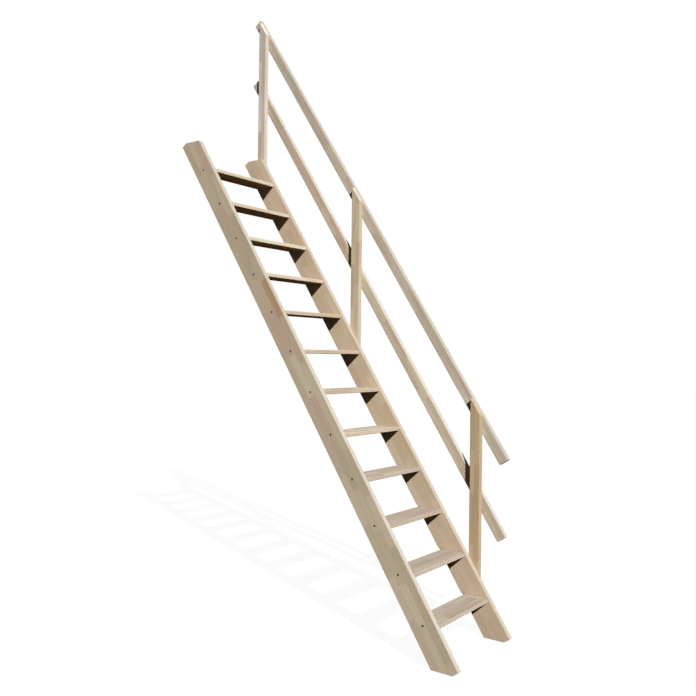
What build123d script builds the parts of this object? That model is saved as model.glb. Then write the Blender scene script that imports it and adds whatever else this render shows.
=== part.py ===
from build123d import *
import os
from math import atan2, cos, sin, tan

# Wooden stringer staircase: a steep straight flight with open risers, housed treads
# and a railing of posts, handrail and knee rail on its right side.
# Millimetres. +X is to the right when climbing, +Y is the way the flight climbs, +Z is up.
# The origin is the middle of the left stringer's sole, on the floor.

# Flight
tread_count = 12
rise = 215.0  # from one tread's top to the next
going = 141.5  # from one tread's front to the next
first_rise = 206.0  # from the floor to the first tread's top
clear_width = 510.0  # between the stringers' inner faces

# Stringers
stringer_width = 136.0
stringer_thickness = 28.0
stringer_arris = 2.5  # planed off each long edge
toe_end = 40.0  # square end left in front of the sole's level cut
head_end = 40.0  # square end left behind the head's level cut
head_above_tread = 174.0  # from the last tread's top to the head's level cut

# Treads
tread_depth = 138.0
tread_thickness = 22.0
tread_setback = 4.0  # behind the stringers' front edge, at the tread's top
nosing_radius = 4.0  # on a tread's two front edges
tread_arris = 1.5  # planed off a tread's two back edges
groove_depth = 12.0
groove_fit = 0.2  # above a tread, so that it slides into its groove
end_gap = 0.4  # between a tread's end and the bottom of its groove

# Posts
post_width = 60.0
post_thickness = 30.0
post_arris = 2.5
bottom_post_run = 210.5  # from the stringer's front edge at the floor to the post's front
middle_post_shift = 13.5  # behind the middle between the other two posts
post_foot_margin = 14.0  # level distance from a post's foot to the stringer's back edge

# Rails, with heights measured straight up from the stringers' front edge
rail_width = 57.0
rail_thickness = 30.0
rail_radius = 4.0  # on each long edge
handrail_height = 835.0
handrail_lower_reach = 147.5  # in front of the bottom post
handrail_upper_reach = 17.5  # behind the top post
knee_rail_height = 416.0
knee_rail_lower_reach = 139.0
knee_rail_upper_reach = 29.5

# Screw holes
screw_hole_diameter = 5.0
tread_bore_diameter = 10.0  # counterbore that sinks a tread screw's head
tread_bore_depth = 6.0
countersink_diameter = 10.0  # in posts and rails
countersink_angle = 90.0
post_screw_spacing = 80.0  # straight up, on the middle line of a post

# The slope and what follows from it
slope = atan2(rise, going)
steepness = tan(slope)
along = Vector(0, cos(slope), sin(slope))
across = Vector(0, -sin(slope), cos(slope))
slope_axis = Axis((0, 0, 0), tuple(along))
stringer_run = stringer_width / sin(slope)
stringer_drop = stringer_width / cos(slope)
sole_length = (stringer_width - toe_end) / sin(slope)
head_length = (stringer_width - head_end) / sin(slope)
back_at_floor = sole_length / 2
front_at_floor = back_at_floor - stringer_run
head_z = first_rise + (tread_count - 1) * rise + head_above_tread

# Faces across the width
left_outer = -stringer_thickness / 2
left_inner = stringer_thickness / 2
right_inner = left_inner + clear_width
right_outer = right_inner + stringer_thickness
post_outer = right_outer + post_thickness
rail_outer = post_outer + rail_thickness


def front_y(z):
    """Y of the stringers' front edge at a height."""
    return front_at_floor + z / steepness


def slope_z(y, height):
    """Z of the line parallel to the slope that lies a given height above the stringers' front edge."""
    return (y - front_at_floor) * steepness + height


def tread_top(index):
    """Height of a tread's top above the floor."""
    return first_rise + index * rise


def tread_front(index):
    """Y of a tread's front."""
    return front_y(tread_top(index)) + tread_setback


def tread_screw_centre(index):
    """Y and Z of the screw in each end of a tread."""
    return tread_front(index) + tread_depth / 2, tread_top(index) - tread_thickness / 2


def post_screw_centres(front):
    """Y and Z of the two screws that hold a post, centred on the height of the stringer behind it."""
    y = front + post_width / 2
    seat_low = slope_z(y, -stringer_drop)
    seat_high = min(slope_z(y, 0), head_z)
    middle = (seat_low + seat_high) / 2
    return [(y, middle - post_screw_spacing / 2), (y, middle + post_screw_spacing / 2)]


def rail_screw_centre(front, height):
    """Y and Z of the screw that holds a rail to a post, where their middle lines cross."""
    y = front + post_width / 2
    return y, slope_z(y, height - rail_width / cos(slope) / 2)


def facing(x, side, centres):
    """Planes on the face X = x, one for each hole, that look to the left (-1) or to the right (1)."""
    return [Plane(origin=(x, y, z), x_dir=(0, 1, 0), z_dir=(side, 0, 0)) for y, z in centres]


def side_points(*points):
    """Y and Z of points, for a sketch seen from the side."""
    return [(point.Y, point.Z) for point in points]


def save(piece, label):
    """Labels a finished piece and writes its file."""
    piece.label = label
    export_step(piece, f"parts/{label}.step")


# Front faces of the posts. The top one stands in line with the head's front corner.
bottom_post_y = front_at_floor + bottom_post_run
top_post_y = front_y(head_z)
middle_post_y = (bottom_post_y + top_post_y) / 2 + middle_post_shift
post_fronts = {"bottom_post": bottom_post_y, "middle_post": middle_post_y, "top_post": top_post_y}

# Corners of a stringer's side, from the back of the sole round to the back of the head
sole_back = Vector(0, back_at_floor, 0)
sole_front = sole_back - Vector(0, sole_length, 0)
toe = sole_front + across * toe_end
head_front = Vector(0, front_y(head_z), head_z)
head_back = head_front + Vector(0, head_length, 0)
heel = head_back - across * head_end

tread_screw_centres = [tread_screw_centre(index) for index in range(tread_count)]

os.makedirs("parts", exist_ok=True)

# Stringers, each with a groove for every tread's end and a counterbored hole for its screw
for label, inner_x, side in (("left_stringer", left_inner, -1), ("right_stringer", right_inner, 1)):
    with BuildPart() as stringer:
        with BuildSketch(Plane.YZ.offset(inner_x)):
            with BuildLine():
                Polyline(*side_points(sole_back, sole_front, toe, head_front, head_back, heel), close=True)
            make_face()
        extrude(amount=side * stringer_thickness)
        chamfer(stringer.edges().filter_by(slope_axis), stringer_arris)
        # The grooves stop behind the front edge and run out through the back edge
        with BuildSketch(Plane.YZ.offset(inner_x)):
            for index in range(tread_count):
                with Locations((tread_front(index), tread_top(index) - tread_thickness)):
                    Rectangle(stringer_run, tread_thickness + groove_fit, align=(Align.MIN, Align.MIN))
        extrude(amount=side * groove_depth, mode=Mode.SUBTRACT)
        with Locations(*facing(inner_x + side * stringer_thickness, side, tread_screw_centres)):
            CounterBoreHole(
                screw_hole_diameter / 2, tread_bore_diameter / 2, tread_bore_depth, stringer_thickness
            )
    save(stringer.part, label)

# Treads, each with both ends standing in the stringers' grooves
tread_left_end = left_inner - groove_depth + end_gap
tread_right_end = right_inner + groove_depth - end_gap
for index in range(tread_count):
    with BuildPart() as tread:
        with BuildSketch(Plane.YZ.offset(tread_left_end)):
            with Locations((tread_front(index), tread_top(index))):
                Rectangle(tread_depth, tread_thickness, align=(Align.MIN, Align.MAX))
        extrude(amount=tread_right_end - tread_left_end)
        long_edges = tread.edges().filter_by(Axis.X).group_by(Axis.Y)
        fillet(long_edges[0], nosing_radius)
        chamfer(long_edges[-1], tread_arris)
    save(tread.part, f"tread_{index + 1:02d}")

# Posts against the right stringer's outer face, their feet and tops cut to the slope
post_foot = -stringer_drop + post_foot_margin * steepness
for label, front in post_fronts.items():
    back = front + post_width
    with BuildPart() as post:
        with BuildSketch(Plane.YZ.offset(right_outer)):
            with BuildLine():
                Polyline(
                    (front, slope_z(front, post_foot)),
                    (back, slope_z(back, post_foot)),
                    (back, slope_z(back, handrail_height)),
                    (front, slope_z(front, handrail_height)),
                    close=True,
                )
            make_face()
        extrude(amount=post_thickness)
        chamfer(post.edges().filter_by(Axis.Z), post_arris)
        with Locations(*facing(post_outer, 1, post_screw_centres(front))):
            CounterSinkHole(
                screw_hole_diameter / 2, countersink_diameter / 2, post_thickness, countersink_angle
            )
    save(post.part, label)

# Rails against the posts' outer faces, with square ends
rails = {
    "handrail": (handrail_height, handrail_lower_reach, handrail_upper_reach),
    "knee_rail": (knee_rail_height, knee_rail_lower_reach, knee_rail_upper_reach),
}
for label, (height, lower_reach, upper_reach) in rails.items():
    lower_y = bottom_post_y - lower_reach
    upper_y = top_post_y + post_width + upper_reach
    lower_top = Vector(0, lower_y, slope_z(lower_y, height))
    upper_top = Vector(0, upper_y, slope_z(upper_y, height))
    drop = across * rail_width
    crossings = [rail_screw_centre(front, height) for front in post_fronts.values()]
    with BuildPart() as rail:
        with BuildSketch(Plane.YZ.offset(post_outer)):
            with BuildLine():
                Polyline(*side_points(lower_top, upper_top, upper_top - drop, lower_top - drop), close=True)
            make_face()
        extrude(amount=rail_thickness)
        fillet(rail.edges().filter_by(slope_axis), rail_radius)
        with Locations(*facing(rail_outer, 1, crossings)):
            CounterSinkHole(
                screw_hole_diameter / 2, countersink_diameter / 2, rail_thickness, countersink_angle
            )
    save(rail.part, label)
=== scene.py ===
from functools import partial
from math import atan2, cos, pi, radians, sin, tan

import bmesh
import bpy
from bpy.props import FloatProperty, FloatVectorProperty, IntProperty, PointerProperty
from mathutils import Matrix, Vector


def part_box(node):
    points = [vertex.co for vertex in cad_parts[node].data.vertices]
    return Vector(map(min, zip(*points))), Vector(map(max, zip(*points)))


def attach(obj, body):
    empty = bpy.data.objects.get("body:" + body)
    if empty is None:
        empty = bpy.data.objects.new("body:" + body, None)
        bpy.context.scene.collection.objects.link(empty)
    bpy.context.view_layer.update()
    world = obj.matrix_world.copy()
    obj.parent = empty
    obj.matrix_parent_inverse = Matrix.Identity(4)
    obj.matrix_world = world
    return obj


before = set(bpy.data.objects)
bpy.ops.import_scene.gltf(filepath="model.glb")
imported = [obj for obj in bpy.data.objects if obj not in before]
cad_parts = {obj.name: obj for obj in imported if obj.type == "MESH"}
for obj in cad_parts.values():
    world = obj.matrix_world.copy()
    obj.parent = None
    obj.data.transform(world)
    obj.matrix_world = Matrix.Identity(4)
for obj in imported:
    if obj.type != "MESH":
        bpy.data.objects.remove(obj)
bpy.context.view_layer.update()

bl_info = {
    "name": "Wooden Staircase Finish",
    "version": (1, 0, 0),
    "blender": (4, 5, 0),
    "location": "View3D > Sidebar > Staircase",
    "description": "Wood finishes, screws and stage for a steep staircase with open risers",
    "category": "Object",
}

# Metres throughout. +X is to the right when climbing, +Y is the way the flight climbs, +Z is up.
MM = 0.001

# The flight, read from the frame
TREADS = sorted(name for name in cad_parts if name.startswith("tread_"))
POSTS = ("bottom_post", "middle_post", "top_post")
RAILS = ("handrail", "knee_rail")
FIRST_TREAD, SECOND_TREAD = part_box(TREADS[0]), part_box(TREADS[1])
LEFT_STRINGER, RIGHT_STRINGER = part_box("left_stringer"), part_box("right_stringer")
RISE = SECOND_TREAD[1].z - FIRST_TREAD[1].z
GOING = SECOND_TREAD[0].y - FIRST_TREAD[0].y
SLOPE = atan2(RISE, GOING)
ALONG = Vector((0, cos(SLOPE), sin(SLOPE)))
ACROSS = Vector((0, -sin(SLOPE), cos(SLOPE)))
SIDEWAYS = Vector((1, 0, 0))
LEVEL = Vector((0, 1, 0))
UPRIGHT = Vector((0, 0, 1))


# Settings


def linear(hex_colour):
    """The linear red, green and blue of an sRGB hex colour."""
    channels = [int(hex_colour[i : i + 2], 16) / 255 for i in (1, 3, 5)]
    return tuple(c / 12.92 if c <= 0.04045 else ((c + 0.055) / 1.055) ** 2.4 for c in channels)


def colour_property(name, description, hex_colour):
    """A colour that a user can change, with its default from an sRGB hex value."""
    return FloatVectorProperty(
        name=name, description=description, subtype="COLOR", size=3, min=0, max=1, default=linear(hex_colour)
    )


def length_property(name, description, default):
    """A length that a user can change, in metres."""
    return FloatProperty(
        name=name, description=description, unit="LENGTH", min=0, precision=4, default=default
    )


def angle_property(name, description, default):
    """An angle that a user can change, in radians."""
    return FloatProperty(name=name, description=description, subtype="ANGLE", default=default)


def number_property(name, description, default):
    """A plain number that a user can change."""
    return FloatProperty(name=name, description=description, default=default)


def vector_property(name, description, default):
    """A place or a direction that a user can change."""
    return FloatVectorProperty(name=name, description=description, subtype="XYZ", default=default)


class StairWoodSettings(bpy.types.PropertyGroup):
    """Colours and figure of the spruce boards"""

    beige: colour_property("Beige", "Blocks of the commonest tone", "#D1C0A7")
    pinkish: colour_property("Pinkish", "Blocks cut near the bark", "#CFB8A4")
    # Pale also tints the corners, partly as sanding wear and partly as a painted highlight
    pale: colour_property("Pale", "Blocks of fresh sapwood, and the boards' worn corners", "#DACCB3")
    brownish: colour_property("Brownish", "Blocks of heartwood", "#C6A685")
    greyish: colour_property("Greyish", "Blocks that dried slowly", "#C7B99F")
    # The planed edges' pale grey is partly the wood's own and partly a painted highlight
    edge: colour_property("Planed edge", "Narrow sides of the boards, paler than their faces", "#CECFC8")
    end_grain: colour_property("End grain", "Sawn ends, where the cut fibres look darker", "#B3946C")
    latewood: colour_property("Latewood", "Dark part of each growth ring", "#B08658")
    glue: colour_property("Glue line", "Joints between lamellas and blocks", "#A98A64")
    # This dark brown is painted shade in and round the screw holes
    painted_hole_shade: colour_property("Torn fibres", "Walls and rims of the screw holes", "#3B2A1B")
    ring_width: length_property("Ring width", "Distance between growth rings as drawn", 5.5 * MM)
    streak_width: length_property("Streak width", "Width of the soft streaks along the grain", 13.0 * MM)
    streak_length: length_property("Streak length", "Length of the soft streaks", 340.0 * MM)
    fibre_width: length_property("Fibre width", "Width of the fine fibres as drawn", 2.2 * MM)
    fibre_length: length_property("Fibre length", "Length of the fine fibres", 90.0 * MM)
    block_length: length_property("Block length", "Mean length of the blocks in a lamella", 260.0 * MM)
    finger_length: length_property("Finger length", "Length of a finger joint as drawn", 16.0 * MM)
    finger_pitch: length_property("Finger pitch", "Distance between fingers as drawn", 9.0 * MM)
    arris_wear: length_property("Arris wear", "Radius of the sanded corners", 1.6 * MM)


class StairScrewSettings(bpy.types.PropertyGroup):
    """Wood screws that hold the treads, the posts and the rails, and the sizes that place them"""

    head_radius: length_property("Head radius", "Radius of a screw's head", 4.7 * MM)
    shank_radius: length_property("Shank radius", "Radius of a screw's shank", 2.3 * MM)
    recess_radius: length_property("Recess radius", "Mean radius of the six-lobed recess", 2.2 * MM)
    recess_depth: length_property("Recess depth", "Depth of the six-lobed recess", 2.0 * MM)
    bore_depth: length_property("Bore depth", "Depth of the counterbores in the stringers", 6.0 * MM)
    tread_screw: length_property("Tread screw", "Length, through a stringer into a tread", 60.0 * MM)
    post_screw: length_property("Post screw", "Length, through a post into the stringer", 50.0 * MM)
    rail_screw: length_property("Rail screw", "Length, through a rail into a post", 55.0 * MM)
    post_screw_spacing: length_property("Post screw spacing", "Height between the two in a post", 80.0 * MM)
    tread_setback: length_property("Tread setback", "Tread's front behind the stringer's edge", 4.0 * MM)
    stringer_width: length_property("Stringer width", "Width of a stringer's face", 136.0 * MM)
    rail_width: length_property("Rail width", "Width of a rail's face", 57.0 * MM)
    handrail_height: length_property("Handrail height", "Above the stringers' edge", 835.0 * MM)
    knee_rail_height: length_property("Knee rail height", "Above the stringers' edge", 416.0 * MM)
    plating: colour_property("Plating", "Yellow-passivated zinc plating", "#7D6238")


class StairStageSettings(bpy.types.PropertyGroup):
    """Camera, lamps, floor and backdrop"""

    key_strength: number_property("Key strength", "Light on a surface that faces the key", 1.5)
    key_angle: angle_property("Key angle", "Apparent size of the key lamp", radians(1.2))
    key_direction: vector_property("Key direction", "From the staircase to the key", (-1.0, -1.48, 1.33))
    back_strength: number_property("Back strength", "Light on a surface that faces the back lamp", 0.75)
    back_angle: angle_property("Back angle", "Apparent size of the back lamp", radians(25))
    back_direction: vector_property("Back direction", "From the staircase to the lamp", (1.0, 1.0, 0.05))
    fill_strength: number_property("Fill strength", "Even light from all round", 0.02)
    fill_colour: colour_property("Fill colour", "Colour of the even light", "#F6DCBC")
    floor_share: number_property("Floor shading", "Share of the floor's white that shadows take away", 0.05)
    floor_size: length_property("Floor size", "Side of the square floor", 80.0)
    camera_place: vector_property("Camera place", "Where the camera stands", (-3.1506, -1.8038, 1.4638))
    camera_yaw: angle_property("Yaw", "From +Y towards +X", 0.9243)
    camera_pitch: angle_property("Pitch", "Above the horizon", 0.0103)
    camera_roll: angle_property("Roll", "About the line of sight", 0.0125)
    focal_pixels: number_property("Focal length", "In pixels of the image", 772.01)
    image_pixels: IntProperty(
        name="Image side", description="Width and height of the image in pixels", default=696
    )


# Boards

# A tone is a share of red, green and blue
PLAIN = (1.0, 1.0, 1.0)

# Each kind of board: lamellas across its width, strength of its streaks, tone of its faces, and tone of what
# faces down on it, a painted shade that darkens the treads' undersides
BOARD_KINDS = {
    "stringers": (3, 0.6, (0.88, 0.88, 0.88), PLAIN),
    "treads": (3, 1.4, (0.68, 0.8, 0.97), (0.56, 0.39, 0.22)),
    "posts": (2, 1.4, (0.93, 0.94, 0.98), PLAIN),
    "rails": (2, 1.0, (0.97, 0.97, 0.96), PLAIN),
}

# Tone of each whole board; the treads have one for each third of the flight, from the floor up
BOARD_TONES = {
    "left_stringer": (0.98, 0.98, 0.96),
    "right_stringer": (1.08, 1.05, 1.0),
    "bottom_post": (0.92, 0.82, 0.65),
    "middle_post": (1.01, 0.99, 0.92),
    "top_post": (1.12, 1.18, 1.31),
    "handrail": (1.0, 1.06, 1.13),
    "knee_rail": (0.98, 0.99, 1.01),
}
TREAD_TONES = ((0.94, 0.83, 0.76), (1.06, 0.94, 0.82), (1.31, 1.23, 1.12))
for number, name in enumerate(TREADS):
    BOARD_TONES[name] = TREAD_TONES[number * len(TREAD_TONES) // len(TREADS)]

# Tone of each board's planed edges: partly their own tone and partly a painted highlight
EDGE_AND_HIGHLIGHT_TONES = {
    "left_stringer": (1.05, 1.06, 1.11),
    "right_stringer": (0.81, 0.83, 0.88),
    "bottom_post": (0.87, 0.88, 0.92),
    "middle_post": (1.06, 1.01, 0.93),
    "top_post": (1.26, 1.14, 1.03),
    "handrail": (0.9, 0.86, 0.83),
    "knee_rail": (1.1, 1.14, 1.17),
}

# Seeds for where each board's darker and paler blocks lie. They follow the real boards roughly, but not on
# the right stringer. The treads' seeds only differ, by a step from one to the next.
BLOCK_SEEDS = {
    "left_stringer": 24366.0,
    "right_stringer": 2588.25,
    "bottom_post": 1127.75,
    "middle_post": 1875.75,
    "top_post": 1889.75,
    "handrail": 11601.75,
    "knee_rail": 4899.75,
}
TREAD_SEED_STEP = 17.3


# Materials

# A noise texture's values lie mostly between these
NOISE_LOW, NOISE_HIGH = 0.3, 0.7
# Distance between the rings of a wave texture at scale 1
WAVE_PITCH = pi / 10
BEVEL_SAMPLES = 4

# Blocks: how uneven their lengths are, the step between the seeds of two lamellas, and the tones that chance
# gives them, which run into each other between these places
BLOCK_SPREAD = 0.8
LAMELLA_STEP = 61.7
TONE_PLACES = (
    (0.0, "greyish"),
    (0.22, "beige"),
    (0.45, "pinkish"),
    (0.62, "pale"),
    (0.87, "beige"),
    (0.91, "brownish"),
)

# Pith of a block: how far its place varies across the board, how much it leans, how deep it lies, and how
# far that varies
PITH_ACROSS = 0.1
PITH_LEAN = 0.07
PITH_DEPTH = 0.03
PITH_SPREAD = 0.06

# Growth rings: how fast they wander along the grain against across it, the latewood from a ring's start to
# its end, and how strongly it tints the wood
RING_DRIFT = 0.04
LATEWOOD = ((0.0, 0.05), (0.45, 0.0), (0.85, 1.0), (0.95, 0.7), (1.0, 0.05))
LATEWOOD_SHARE = 0.14

# Darkest and palest tones of the streaks and of the fibres, and the value of the noise at which fibres are
# palest
STREAK_DARK, STREAK_PALE = (0.9, 0.87, 0.84), (1.04, 1.05, 1.06)
FIBRE_DARK, FIBRE_PALE = 0.93, 1.03
FIBRE_PALE_PLACE = 0.65

# Planed edges, sawn ends, what faces down and rounded corners: cosines between which a surface begins to
# count as one, and how much of that side's colour it takes. The planed edges' paleness is partly a painted
# highlight, what faces down takes painted shade, and the corners' paleness is partly a painted highlight.
EDGE_COSINES, EDGE_SHARE = (0.6, 0.8), 0.75
END_COSINES, END_SHARE = (0.6, 0.85), 0.8
DOWN_SHADE_COSINES = (0.7, 0.95)
CORNER_COSINES, CORNER_WEAR_AND_HIGHLIGHT_SHARE = (0.98, 0.85), 0.3

# Glue lines: reach to either side and strength, at the ends of blocks and between lamellas
END_GLUE_REACH, END_GLUE_SHARE = 1.5 * MM, 0.35
SIDE_GLUE_REACH, SIDE_GLUE_SHARE = 1.2 * MM, 0.25

# Painted shade in and round a screw hole: radii between which it begins, and strength
HOLE_SHADE_RADII, HOLE_SHADE_SHARE = (7.0 * MM, 5.2 * MM), 0.9

# Relief of the planed faces, the latewood's share in it, and roughness between the fibres and on them
FACE_RELIEF = 0.35 * MM
LATEWOOD_RELIEF = 0.5
ROUGH, PLANED = 0.9, 0.75

# Zinc plating: size of its spangle as drawn, tone of its clouds, roughness in them and outside them, depth of
# its relief, and radius of the screws' corners
SPANGLE = 1.5 * MM
CLOUD_TONE = 0.6
CLOUDED, SATIN = 0.55, 0.4
SCREW_RELIEF = 0.05 * MM
SCREW_WEAR = 0.2 * MM


def add_node(tree, kind, settings=None, inputs=None, stops=None):
    """Adds a node. Inputs are values, nodes or (node, output) pairs; stops are a colour ramp's.

    A Map Range node's inputs 0 to 4 are the value, the range it reads and the range it gives. A Mix node's
    inputs 0, 6 and 7 are the share and the colours below and above, and its output 2 is the mixed colour.
    """
    node = tree.nodes.new(kind)
    for name, value in (settings or {}).items():
        setattr(node, name, value)
    for key, value in (inputs or {}).items():
        if isinstance(value, bpy.types.Node):
            value = (value, 0)
        if isinstance(value, tuple) and isinstance(value[0], bpy.types.Node):
            tree.links.new(value[0].outputs[value[1]], node.inputs[key])
        else:
            node.inputs[key].default_value = value
    if stops:
        elements = node.color_ramp.elements
        while len(elements) < len(stops):
            elements.new(1)
        for element, (position, colour) in zip(elements, stops):
            element.position = position
            element.color = (*colour, 1)
    return node


def new_material(name):
    """An empty node material, and the function that adds nodes to it."""
    material = bpy.data.materials.new(name)
    material.use_nodes = True
    material.node_tree.nodes.clear()
    return material, partial(add_node, material.node_tree)


def grey(level):
    """A grey for a colour ramp that is read as a number."""
    return (level, level, level)


def laminated_spruce(kind, grain, crosswise, board_width, holes=None):
    """Spruce blocks finger-jointed into lamellas, glued side by side, planed and left unvarnished.

    To the eye it is matt and pale, in long patches of slightly different tone, with soft rings and streaks
    along the grain, darker end grain and paler planed edges, whose paleness is partly a painted highlight.
    The corners are a little paler, partly a painted highlight. Painted shade darkens what faces down on the
    treads, and the screw holes. Knots are cut out before blocks are jointed. A board's own origin, tone, edge
    tone and block seed are properties of its object. grain and crosswise are directions on its face. holes
    are the places along and across the grain of the first screw hole, and the step along the grain to the
    next.
    """
    wood = bpy.context.scene.stair_wood
    material, add = new_material(f"planed_spruce_{kind}")
    lamellas, figure, face_tone, painted_underside_shade = BOARD_KINDS[kind]
    lamella = board_width / lamellas

    places = add("ShaderNodeTexCoord")
    origin, first_seed, edge_tone, board_tone = (
        add("ShaderNodeAttribute", {"attribute_type": "OBJECT", "attribute_name": name})
        for name in ("board_origin", "block_seed", "edge_tone", "board_tone")
    )
    local = add(
        "ShaderNodeVectorMath", {"operation": "SUBTRACT"}, {0: (places, "Object"), 1: (origin, "Vector")}
    )
    along, across, deep = (
        (add("ShaderNodeVectorMath", {"operation": "DOT_PRODUCT"}, {0: local, 1: axis}), "Value")
        for axis in (grain, crosswise, grain.cross(crosswise))
    )

    # Lamella number, and a seed that differs from board to board and from lamella to lamella
    row = add("ShaderNodeMath", {"operation": "DIVIDE"}, {0: across, 1: lamella})
    row = add("ShaderNodeMath", {"operation": "FLOOR"}, {0: row})
    seed = add(
        "ShaderNodeMath", {"operation": "MULTIPLY_ADD"}, {0: row, 1: LAMELLA_STEP, 2: (first_seed, "Fac")}
    )

    # Blocks along a lamella, with fingers across their joints. Real fingers are 10 mm long and 4 mm apart,
    # too fine to show, so they are drawn about twice as coarse.
    finger = add("ShaderNodeMath", {"operation": "PINGPONG"}, {0: across, 1: wood.finger_pitch / 2})
    slant = 2 * wood.finger_length / wood.finger_pitch
    finger = add("ShaderNodeMath", {"operation": "MULTIPLY_ADD"}, {0: finger, 1: slant, 2: along})
    step = add(
        "ShaderNodeMath", {"operation": "MULTIPLY_ADD"}, {0: finger, 1: 1 / wood.block_length, 2: seed}
    )
    block, joint = (
        add(
            "ShaderNodeTexVoronoi",
            {"voronoi_dimensions": "1D", "feature": feature},
            {"W": step, "Scale": 1.0, "Randomness": BLOCK_SPREAD},
        )
        for feature in ("F1", "DISTANCE_TO_EDGE")
    )
    chance = add("ShaderNodeSeparateColor", None, {0: (block, "Color")})
    tones = [
        (place, [c * share for c, share in zip(getattr(wood, colour), face_tone)])
        for place, colour in TONE_PLACES
    ]
    block_tone = add("ShaderNodeValToRGB", None, {0: (chance, 0)}, tones)

    # Growth rings, from how far aside of its pith and below it a point lies. Each block has its pith in a
    # place of its own, outside the board. Real rings are 2 to 4 mm wide; they are drawn wider to show.
    in_lamella = add("ShaderNodeMath", {"operation": "MULTIPLY_ADD"}, {0: row, 1: -lamella, 2: across})
    aside = add(
        "ShaderNodeMath", {"operation": "MULTIPLY_ADD"}, {0: (chance, 1), 1: PITH_ACROSS, 2: in_lamella}
    )
    lean = add(
        "ShaderNodeMath", {"operation": "MULTIPLY_ADD"}, {0: (chance, 0), 1: PITH_LEAN, 2: -PITH_LEAN / 2}
    )
    aside = add("ShaderNodeMath", {"operation": "MULTIPLY_ADD"}, {0: along, 1: lean, 2: aside})
    below = add(
        "ShaderNodeMath", {"operation": "MULTIPLY_ADD"}, {0: (chance, 2), 1: PITH_SPREAD, 2: deep}
    )
    below = add("ShaderNodeMath", {"operation": "ADD"}, {0: below, 1: PITH_DEPTH})
    drift = add("ShaderNodeMath", {"operation": "MULTIPLY_ADD"}, {0: along, 1: RING_DRIFT, 2: step})
    ring_place = add("ShaderNodeCombineXYZ", None, {0: drift, 1: aside, 2: below})
    rings = add(
        "ShaderNodeTexWave",
        {"wave_type": "RINGS", "rings_direction": "X", "wave_profile": "SAW"},
        {
            "Vector": ring_place,
            "Scale": WAVE_PITCH / wood.ring_width,
            "Distortion": 4.0,
            "Detail": 2.0,
            "Detail Scale": 0.7,
            "Detail Roughness": 0.5,
        },
    )
    late = add(
        "ShaderNodeValToRGB", None, {0: (rings, "Fac")}, [(place, grey(level)) for place, level in LATEWOOD]
    )

    # Soft streaks and fine fibres, both far longer than wide. Real fibres are finer than a hair; they are
    # drawn about 2 mm wide so that they show close up.
    drawn = add("ShaderNodeCombineXYZ", None, {0: along, 1: aside, 2: below})
    streak_size = (1 / wood.streak_length, 1 / wood.streak_width, 1 / wood.streak_width)
    streak_place = add("ShaderNodeVectorMath", {"operation": "MULTIPLY"}, {0: drawn, 1: streak_size})
    streaks = add("ShaderNodeTexNoise", None, {"Vector": streak_place, "Scale": 1.0, "Detail": 2.0})
    fibre_size = (1 / wood.fibre_length, 1 / wood.fibre_width, 1 / wood.fibre_width)
    fibre_place = add("ShaderNodeVectorMath", {"operation": "MULTIPLY"}, {0: drawn, 1: fibre_size})
    fibres = add(
        "ShaderNodeTexNoise", None, {"Vector": fibre_place, "Scale": 1.0, "Detail": 3.0, "Roughness": 0.6}
    )
    dark, pale = (tuple(c**figure for c in tone) for tone in (STREAK_DARK, STREAK_PALE))
    streak_stops = [(NOISE_LOW, dark), (0.5, grey(1.0)), (NOISE_HIGH, pale)]
    streak_tone = add("ShaderNodeValToRGB", None, {0: streaks}, streak_stops)
    fibre_stops = [(NOISE_LOW, grey(FIBRE_DARK)), (FIBRE_PALE_PLACE, grey(FIBRE_PALE))]
    fibre_tone = add("ShaderNodeValToRGB", None, {0: fibres}, fibre_stops)

    # Which side of the board shows: a planed edge, a sawn end or a face, and whether it faces down, which
    # takes painted shade
    shares = []
    for axis, cosines, share in ((crosswise, EDGE_COSINES, EDGE_SHARE), (grain, END_COSINES, END_SHARE)):
        turn = add("ShaderNodeVectorMath", {"operation": "DOT_PRODUCT"}, {0: (places, "Normal"), 1: axis})
        turn = add("ShaderNodeMath", {"operation": "ABSOLUTE"}, {0: (turn, "Value")})
        turn = add("ShaderNodeMapRange", None, {0: turn, 1: cosines[0], 2: cosines[1]})
        shares.append(add("ShaderNodeMath", {"operation": "MULTIPLY"}, {0: turn, 1: share}))
    edge_and_highlight_share, end_share = shares
    down = add("ShaderNodeVectorMath", {"operation": "DOT_PRODUCT"}, {0: (places, "Normal"), 1: -UPRIGHT})
    down = add("ShaderNodeMapRange", None, {0: (down, "Value"), 1: DOWN_SHADE_COSINES[0], 2: DOWN_SHADE_COSINES[1]})
    # The edges' colour: partly the planed wood's own, partly a painted highlight
    edge = add(
        "ShaderNodeMix",
        {"data_type": "RGBA", "blend_type": "MULTIPLY"},
        {0: 1.0, 6: (*wood.edge, 1), 7: (edge_tone, "Vector")},
    )
    late_share = add("ShaderNodeMath", {"operation": "MULTIPLY"}, {0: late, 1: LATEWOOD_SHARE})

    # Joints: a glue line is 0.2 mm wide; it is drawn over 1 mm wide and faint, fading to either side
    end_gap = add(
        "ShaderNodeMapRange",
        None,
        {0: (joint, "Distance"), 1: 0.0, 2: END_GLUE_REACH / wood.block_length, 3: END_GLUE_SHARE, 4: 0.0},
    )
    side_gap = add("ShaderNodeMath", {"operation": "PINGPONG"}, {0: across, 1: lamella / 2})
    side_gap = add(
        "ShaderNodeMapRange", None, {0: side_gap, 1: 0.0, 2: SIDE_GLUE_REACH, 3: SIDE_GLUE_SHARE, 4: 0.0}
    )
    gap = add("ShaderNodeMath", {"operation": "MAXIMUM"}, {0: end_gap, 1: side_gap})

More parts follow.
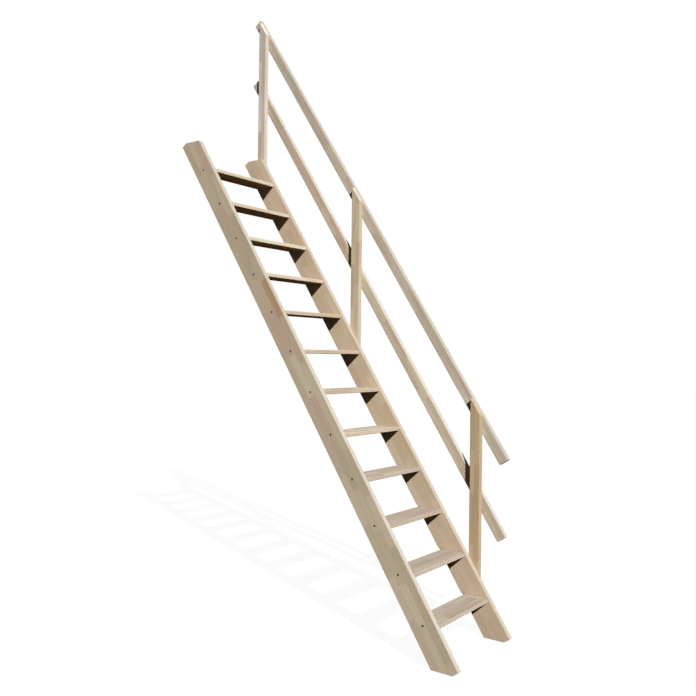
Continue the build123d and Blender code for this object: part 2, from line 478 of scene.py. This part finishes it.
    # Sanded corners: smooth to the light, and a little paler, partly as sanding wear and partly as a painted
    # highlight
    corner = add("ShaderNodeBevel", {"samples": BEVEL_SAMPLES}, {"Radius": wood.arris_wear})
    surface = add("ShaderNodeNewGeometry")
    turn = add("ShaderNodeVectorMath", {"operation": "DOT_PRODUCT"}, {0: corner, 1: (surface, "Normal")})
    worn = add(
        "ShaderNodeMapRange",
        None,
        {0: (turn, "Value"), 1: CORNER_COSINES[0], 2: CORNER_COSINES[1], 3: 0.0, 4: CORNER_WEAR_AND_HIGHLIGHT_SHARE},
    )

    # Colour, in layers of share, colour and way of mixing. The first lies over the block's tone, and each of
    # the others over the one before it.
    layers = [
        # Planed edges' colour, partly a painted highlight
        (edge_and_highlight_share, (edge, 2), "MIX"),
        (end_share, (*wood.end_grain, 1), "MIX"),
        (late_share, (*wood.latewood, 1), "MIX"),
        (1.0, streak_tone, "MULTIPLY"),
        (1.0, fibre_tone, "MULTIPLY"),
        (gap, (*wood.glue, 1), "MIX"),
        (1.0, (board_tone, "Vector"), "MULTIPLY"),
        # Painted shade on what faces down
        (down, (*painted_underside_shade, 1), "MULTIPLY"),
        # Pale corners, partly sanding wear and partly painted highlight
        (worn, (*wood.pale, 1), "MIX"),
    ]

    # Screw holes: painted shade, dark in the hole and a little way round it. Their layer
    # lies under that of the worn and highlit corners.
    if holes:
        first, level, pitch = holes
        hole_along = add("ShaderNodeMath", {"operation": "SUBTRACT"}, {0: along, 1: first})
        hole_along = add("ShaderNodeMath", {"operation": "PINGPONG"}, {0: hole_along, 1: pitch / 2})
        hole_across = add("ShaderNodeMath", {"operation": "SUBTRACT"}, {0: across, 1: level})
        reach = add("ShaderNodeCombineXYZ", None, {0: hole_along, 1: hole_across})
        reach = add("ShaderNodeVectorMath", {"operation": "LENGTH"}, {0: reach})
        painted_hole_shade = add(
            "ShaderNodeMapRange",
            None,
            {0: (reach, "Value"), 1: HOLE_SHADE_RADII[0], 2: HOLE_SHADE_RADII[1], 3: 0.0, 4: HOLE_SHADE_SHARE},
        )
        layers.insert(-1, (painted_hole_shade, (*wood.painted_hole_shade, 1), "MIX"))

    colour = block_tone
    for share, above, way in layers:
        mixed = add(
            "ShaderNodeMix", {"data_type": "RGBA", "blend_type": way}, {0: share, 6: colour, 7: above}
        )
        colour = (mixed, 2)

    # Relief: the hard latewood stands a little proud of the planed earlywood, and fine fibres mark both
    height = add("ShaderNodeMath", {"operation": "MULTIPLY_ADD"}, {0: late, 1: LATEWOOD_RELIEF, 2: fibres})
    relief = add(
        "ShaderNodeBump",
        None,
        {"Strength": 0.35, "Distance": FACE_RELIEF, "Height": height, "Normal": corner},
    )

    # Bare wood has no gloss to the eye, and its open fibres send some of the light back the way it came
    roughness = add(
        "ShaderNodeMapRange", None, {0: fibres, 1: NOISE_LOW, 2: NOISE_HIGH, 3: ROUGH, 4: PLANED}
    )
    shader = add(
        "ShaderNodeBsdfPrincipled",
        None,
        {
            "Base Color": colour,
            "Roughness": roughness,
            "Diffuse Roughness": 0.5,
            "IOR": 1.5,
            "Specular IOR Level": 0.0,
            "Normal": relief,
        },
    )
    add("ShaderNodeOutputMaterial", None, {0: shader})
    return material


def zinc_plated_steel():
    """Screws of cold-headed steel with yellow-passivated zinc plating.

    To the eye they are a dull brownish gold, clouded and satin.
    """
    plating = bpy.context.scene.stair_screws.plating
    material, add = new_material("zinc_plated_steel")
    places = add("ShaderNodeTexCoord")
    # Spangle in thin plating is under 1 mm across; it is drawn larger to show
    clouds = add(
        "ShaderNodeTexNoise", None, {"Vector": (places, "Object"), "Scale": 1 / SPANGLE, "Detail": 3.0}
    )
    tones = [(NOISE_LOW, [CLOUD_TONE * c for c in plating]), (NOISE_HIGH, plating)]
    tone = add("ShaderNodeValToRGB", None, {0: clouds}, tones)
    roughness = add(
        "ShaderNodeMapRange", None, {0: clouds, 1: NOISE_LOW, 2: NOISE_HIGH, 3: CLOUDED, 4: SATIN}
    )
    corner = add("ShaderNodeBevel", {"samples": BEVEL_SAMPLES}, {"Radius": SCREW_WEAR})
    relief = add(
        "ShaderNodeBump",
        None,
        {"Strength": 0.2, "Distance": SCREW_RELIEF, "Height": clouds, "Normal": corner},
    )
    shader = add(
        "ShaderNodeBsdfPrincipled",
        None,
        {"Base Color": tone, "Metallic": 1.0, "Roughness": roughness, "Normal": relief},
    )
    add("ShaderNodeOutputMaterial", None, {0: shader})
    return material


# Finishing the boards


def finish_boards(names, material, origin_of):
    """Gives CAD boards their wood. origin_of says where a board's first lamella starts."""
    for number, name in enumerate(names, start=1):
        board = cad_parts[name]
        board["board_origin"] = origin_of(name)[:]
        board["board_tone"] = BOARD_TONES[name]
        board["edge_tone"] = EDGE_AND_HIGHLIGHT_TONES.get(name, PLAIN)
        board["block_seed"] = BLOCK_SEEDS.get(name, number * TREAD_SEED_STEP)
        board.data.materials.clear()
        board.data.materials.append(material)


def slope_height(y, height):
    """Z of the line along the slope that lies a given height above the stringers' front edge."""
    front = FIRST_TREAD[0].y - bpy.context.scene.stair_screws.tread_setback
    return FIRST_TREAD[1].z + (y - front) * tan(SLOPE) + height


class STAIR_OT_finish_stringers(bpy.types.Operator):
    """Finish the two stringers, three lamellas wide"""

    bl_idname = "stair.finish_stringers"
    bl_label = "Finish Stringers"

    def execute(self, context):
        width = context.scene.stair_screws.stringer_width
        front = Vector((0, 0, slope_height(0, 0)))
        first = sum(FIRST_TREAD, Vector()) / 2 - front
        holes = (first.dot(ALONG), first.dot(-ACROSS), Vector((GOING, RISE)).length)
        wood = laminated_spruce("stringers", ALONG, -ACROSS, width, holes)
        finish_boards(
            ("left_stringer", "right_stringer"),
            wood,
            lambda name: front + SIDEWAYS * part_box(name)[0].x,
        )
        return {"FINISHED"}


class STAIR_OT_finish_treads(bpy.types.Operator):
    """Finish the treads, three lamellas deep, with their grain from side to side"""

    bl_idname = "stair.finish_treads"
    bl_label = "Finish Treads"

    def execute(self, context):
        depth = FIRST_TREAD[1].y - FIRST_TREAD[0].y
        wood = laminated_spruce("treads", SIDEWAYS, LEVEL, depth)
        finish_boards(TREADS, wood, lambda name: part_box(name)[0])
        return {"FINISHED"}


class STAIR_OT_finish_posts(bpy.types.Operator):
    """Finish the three posts, two lamellas wide"""

    bl_idname = "stair.finish_posts"
    bl_label = "Finish Posts"

    def execute(self, context):
        low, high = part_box(POSTS[0])
        wood = laminated_spruce("posts", UPRIGHT, LEVEL, high.y - low.y)
        finish_boards(POSTS, wood, lambda name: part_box(name)[0])
        return {"FINISHED"}


class STAIR_OT_finish_rails(bpy.types.Operator):
    """Finish the handrail and the knee rail, two lamellas wide"""

    bl_idname = "stair.finish_rails"
    bl_label = "Finish Rails"

    def execute(self, context):
        screws = context.scene.stair_screws
        heights = {"handrail": screws.handrail_height, "knee_rail": screws.knee_rail_height}
        wood = laminated_spruce("rails", ALONG, -ACROSS, screws.rail_width)
        finish_boards(
            RAILS,
            wood,
            lambda name: Vector((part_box(name)[0].x, 0, slope_height(0, heights[name]))),
        )
        return {"FINISHED"}


# Screws

SCREW_SIDES = 36
SHARP_ANGLE = radians(32)
TURN_BETWEEN_SCREWS = radians(137.5)

# The recess's lobes, their height as a share of its radius, and how many rings of the profile follow them
LOBES = 6
LOBE_HEIGHT = 0.14
LOBED_RINGS = 4

# How far a head lies under the face of a post or rail, or stands above the floor of a stringer's counterbore
HEAD_GAP = 0.3 * MM


def add_screw(mesh, profile, place):
    """Adds one closed screw to a bmesh: rings of (radius, depth) along +Z, the first and last capped."""
    rings = []
    for number, (radius, depth) in enumerate(profile):
        ring = []
        for side in range(SCREW_SIDES):
            angle = 2 * pi * side / SCREW_SIDES
            wave = LOBE_HEIGHT * radius * cos(LOBES * angle) if number < LOBED_RINGS else 0
            point = Vector(((radius + wave) * cos(angle), (radius + wave) * sin(angle), depth))
            ring.append(mesh.verts.new(place @ point))
        rings.append(ring)
    for inner, outer in zip(rings, rings[1:]):
        for side in range(SCREW_SIDES):
            after = (side + 1) % SCREW_SIDES
            mesh.faces.new((inner[side], inner[after], outer[after], outer[side]))
    mesh.faces.new(list(reversed(rings[0])))
    mesh.faces.new(rings[-1])


def screw_profile(length):
    """Rings of a countersunk screw from the bottom of its recess over the head and down to its point."""
    screws = bpy.context.scene.stair_screws
    head, shank, recess = screws.head_radius, screws.shank_radius, screws.recess_radius
    rim = 0.3 * MM
    return [
        # The recess: its dished bottom, its slightly tapered wall and the broken edge at its mouth
        (recess * 0.7, screws.recess_depth + 0.2 * MM),
        (recess * 0.92, screws.recess_depth),
        (recess, 0.05 * MM),
        (recess + 0.15 * MM, 0.0),
        # The head: its flat top, its rim and the 90 degree cone down to the shank
        (head - rim, 0.0),
        (head, rim),
        (shank, rim + head - shank),
        # The shank and its point, 7 mm long
        (shank, length - 7.0 * MM),
        (shank * 0.75, length - 4.0 * MM),
        (0.2 * MM, length),
    ]


def drive_screws(name, centres, face_x, direction, depth, length):
    """One joined piece of screws, driven into the face at X = face_x in the direction +1 or -1."""
    mesh = bmesh.new()
    profile = screw_profile(length)
    into = Matrix.Rotation(direction * pi / 2, 4, "Y")
    for number, (y, z) in enumerate(centres):
        spin = Matrix.Rotation(number * TURN_BETWEEN_SCREWS, 4, "Z")
        place = Matrix.Translation((face_x + direction * depth, y, z)) @ into @ spin
        add_screw(mesh, profile, place)
    bmesh.ops.recalc_face_normals(mesh, faces=mesh.faces)
    data = bpy.data.meshes.new(name)
    mesh.to_mesh(data)
    mesh.free()
    for polygon in data.polygons:
        polygon.use_smooth = True
    data.set_sharp_from_angle(angle=SHARP_ANGLE)
    piece = bpy.data.objects.new(name, data)
    bpy.context.scene.collection.objects.link(piece)
    data.materials.append(bpy.data.materials.get("zinc_plated_steel") or zinc_plated_steel())
    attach(piece, "root")


class STAIR_OT_drive_tread_screws(bpy.types.Operator):
    """Drive a countersunk screw through each stringer into each tread's end, its head in the counterbore"""

    bl_idname = "stair.drive_tread_screws"
    bl_label = "Drive Tread Screws"

    def execute(self, context):
        screws = context.scene.stair_screws
        boxes = [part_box(name) for name in TREADS]
        centres = [((low.y + high.y) / 2, (low.z + high.z) / 2) for low, high in boxes]
        depth = screws.bore_depth - HEAD_GAP
        faces = (("left", LEFT_STRINGER[0].x, 1), ("right", RIGHT_STRINGER[1].x, -1))
        for side, face_x, direction in faces:
            drive_screws(f"tread_screws_{side}", centres, face_x, direction, depth, screws.tread_screw)
        return {"FINISHED"}


class STAIR_OT_drive_post_screws(bpy.types.Operator):
    """Drive two countersunk screws through each post into the right stringer"""

    bl_idname = "stair.drive_post_screws"
    bl_label = "Drive Post Screws"

    def execute(self, context):
        screws = context.scene.stair_screws
        drop = screws.stringer_width / cos(SLOPE)
        centres = []
        for name in POSTS:
            low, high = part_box(name)
            y = (low.y + high.y) / 2
            seat = (slope_height(y, -drop) + min(slope_height(y, 0), RIGHT_STRINGER[1].z)) / 2
            centres += [(y, seat - screws.post_screw_spacing / 2), (y, seat + screws.post_screw_spacing / 2)]
        face_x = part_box(POSTS[0])[1].x
        drive_screws("post_screws", centres, face_x, -1, HEAD_GAP, screws.post_screw)
        return {"FINISHED"}


class STAIR_OT_drive_rail_screws(bpy.types.Operator):
    """Drive a countersunk screw through each rail into each post"""

    bl_idname = "stair.drive_rail_screws"
    bl_label = "Drive Rail Screws"

    def execute(self, context):
        screws = context.scene.stair_screws
        half_drop = screws.rail_width / cos(SLOPE) / 2
        centres = []
        for height in (screws.handrail_height, screws.knee_rail_height):
            for name in POSTS:
                low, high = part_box(name)
                y = (low.y + high.y) / 2
                centres.append((y, slope_height(y, height - half_drop)))
        face_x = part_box("handrail")[1].x
        drive_screws("rail_screws", centres, face_x, -1, HEAD_GAP, screws.rail_screw)
        return {"FINISHED"}


# Stage

SENSOR_MM = 36.0
CAMERA_REACH = 500.0
# The floor lies a hair under the stringers' feet, and gives back this little of the light that bounces
FLOOR_GAP = 0.2 * MM
FLOOR_BOUNCE = 0.01


def add_sun(name, direction, strength, angle):
    """A distant lamp; a white surface that faces it gets the given strength."""
    lamp = bpy.data.lights.new(name, "SUN")
    lamp.energy = strength * pi
    lamp.angle = angle
    holder = bpy.data.objects.new(name, lamp)
    holder.rotation_mode = "QUATERNION"
    holder.rotation_quaternion = Vector(direction).to_track_quat("Z", "Y")
    bpy.context.scene.collection.objects.link(holder)


def seen_directly(add):
    """1 for rays of the camera, of reflections and of glass, and 0 for light that bounces."""
    path = add("ShaderNodeLightPath")
    seen = add(
        "ShaderNodeMath", {"operation": "MAXIMUM"}, {0: (path, "Is Camera Ray"), 1: (path, "Is Glossy Ray")}
    )
    return add("ShaderNodeMath", {"operation": "MAXIMUM"}, {0: seen, 1: (path, "Is Transmission Ray")})


def floor_material(light_on_floor):
    """A plain white floor that keeps the staircase's shadow and bounces little light up to it."""
    share = bpy.context.scene.stair_stage.floor_share
    material, add = new_material("matt_white_floor")
    lit = add("ShaderNodeBsdfDiffuse", None, {"Color": (*grey(share), 1)})
    # The glow adds what the lit part lacks of white
    glow = add("ShaderNodeEmission", None, {"Strength": 1.0 - share * light_on_floor})
    white = add("ShaderNodeAddShader", None, {0: lit, 1: glow})
    dull = add("ShaderNodeBsdfDiffuse", None, {"Color": (*grey(FLOOR_BOUNCE), 1)})
    shader = add("ShaderNodeMixShader", None, {0: seen_directly(add), 1: dull, 2: white})
    add("ShaderNodeOutputMaterial", None, {0: shader})
    return material


class STAIR_OT_set_stage(bpy.types.Operator):
    """Set up the camera, the lamps, the floor and the backdrop"""

    bl_idname = "stair.set_stage"
    bl_label = "Set Stage"

    def execute(self, context):
        scene = context.scene
        stage = scene.stair_stage
        scene.view_settings.view_transform = "Standard"

        # Camera, from its own axes: forward from yaw and pitch, then roll about it
        yaw, pitch, roll = stage.camera_yaw, stage.camera_pitch, stage.camera_roll
        forward = Vector((sin(yaw) * cos(pitch), cos(yaw) * cos(pitch), sin(pitch)))
        right = Vector((cos(yaw), -sin(yaw), 0))
        up = right.cross(forward)
        rolled_right = cos(roll) * right + sin(roll) * up
        rolled_up = cos(roll) * up - sin(roll) * right
        lens = bpy.data.cameras.new("camera")
        lens.sensor_width = SENSOR_MM
        lens.lens = stage.focal_pixels / stage.image_pixels * lens.sensor_width
        lens.clip_end = CAMERA_REACH
        camera = bpy.data.objects.new("camera", lens)
        turn = Matrix((rolled_right, rolled_up, -forward)).transposed().to_4x4()
        camera.matrix_world = Matrix.Translation(stage.camera_place) @ turn
        scene.collection.objects.link(camera)
        scene.camera = camera

        # Lamps: one crisp key in front and to the left, one broad lamp for the sides that it leaves dark. The
        # light on the floor is how much they and the even light give it, where 1 is white.
        lamps = (
            ("key", stage.key_direction, stage.key_strength, stage.key_angle),
            ("back", stage.back_direction, stage.back_strength, stage.back_angle),
        )
        light_on_floor = stage.fill_strength
        for name, direction, strength, angle in lamps:
            add_sun(name, direction, strength, angle)
            light_on_floor += strength * Vector(direction).normalized().z

        # World: white where it is seen, dim and warm where it lights
        world = bpy.data.worlds.new("backdrop")
        scene.world = world
        world.use_nodes = True
        world.node_tree.nodes.clear()
        add = partial(add_node, world.node_tree)
        fill = add("ShaderNodeBackground", None, {0: (*stage.fill_colour, 1), 1: stage.fill_strength})
        white = add("ShaderNodeBackground", None, {0: (1, 1, 1, 1), 1: 1.0})
        mixed = add("ShaderNodeMixShader", None, {0: seen_directly(add), 1: fill, 2: white})
        add("ShaderNodeOutputWorld", None, {0: mixed})

        # Floor
        half = stage.floor_size / 2
        mesh = bmesh.new()
        corners = ((-half, -half), (half, -half), (half, half), (-half, half))
        mesh.faces.new([mesh.verts.new((x, y, -FLOOR_GAP)) for x, y in corners])
        data = bpy.data.meshes.new("floor")
        mesh.to_mesh(data)
        mesh.free()
        data.materials.append(floor_material(light_on_floor))
        floor = bpy.data.objects.new("floor", data)
        scene.collection.objects.link(floor)
        return {"FINISHED"}


class STAIR_PT_sidebar(bpy.types.Panel):
    """Lists the staircase's finishing steps and their settings"""

    bl_label = "Staircase"
    bl_space_type = "VIEW_3D"
    bl_region_type = "UI"
    bl_category = "Staircase"

    def draw(self, context):
        for operator in OPERATORS:
            self.layout.operator(operator.bl_idname)
        for settings in (context.scene.stair_wood, context.scene.stair_screws, context.scene.stair_stage):
            box = self.layout.box()
            for name in settings.__annotations__:
                box.prop(settings, name)


SETTINGS = {
    "stair_wood": StairWoodSettings,
    "stair_screws": StairScrewSettings,
    "stair_stage": StairStageSettings,
}
OPERATORS = (
    STAIR_OT_finish_stringers,
    STAIR_OT_finish_treads,
    STAIR_OT_finish_posts,
    STAIR_OT_finish_rails,
    STAIR_OT_drive_tread_screws,
    STAIR_OT_drive_post_screws,
    STAIR_OT_drive_rail_screws,
    STAIR_OT_set_stage,
)


def register():
    """Registers the settings, the operators and the panel."""
    for name, group in SETTINGS.items():
        bpy.utils.register_class(group)
        setattr(bpy.types.Scene, name, PointerProperty(type=group))
    for item in (*OPERATORS, STAIR_PT_sidebar):
        bpy.utils.register_class(item)


def unregister():
    """Takes away what register added."""
    for item in reversed((*OPERATORS, STAIR_PT_sidebar)):
        bpy.utils.unregister_class(item)
    for name, group in SETTINGS.items():
        delattr(bpy.types.Scene, name)
        bpy.utils.unregister_class(group)


def main():
    """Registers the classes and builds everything."""
    register()
    bpy.ops.stair.set_stage()
    bpy.ops.stair.finish_stringers()
    bpy.ops.stair.finish_treads()
    bpy.ops.stair.finish_posts()
    bpy.ops.stair.finish_rails()
    bpy.ops.stair.drive_tread_screws()
    bpy.ops.stair.drive_post_screws()
    bpy.ops.stair.drive_rail_screws()


if __name__ == "__main__":
    main()
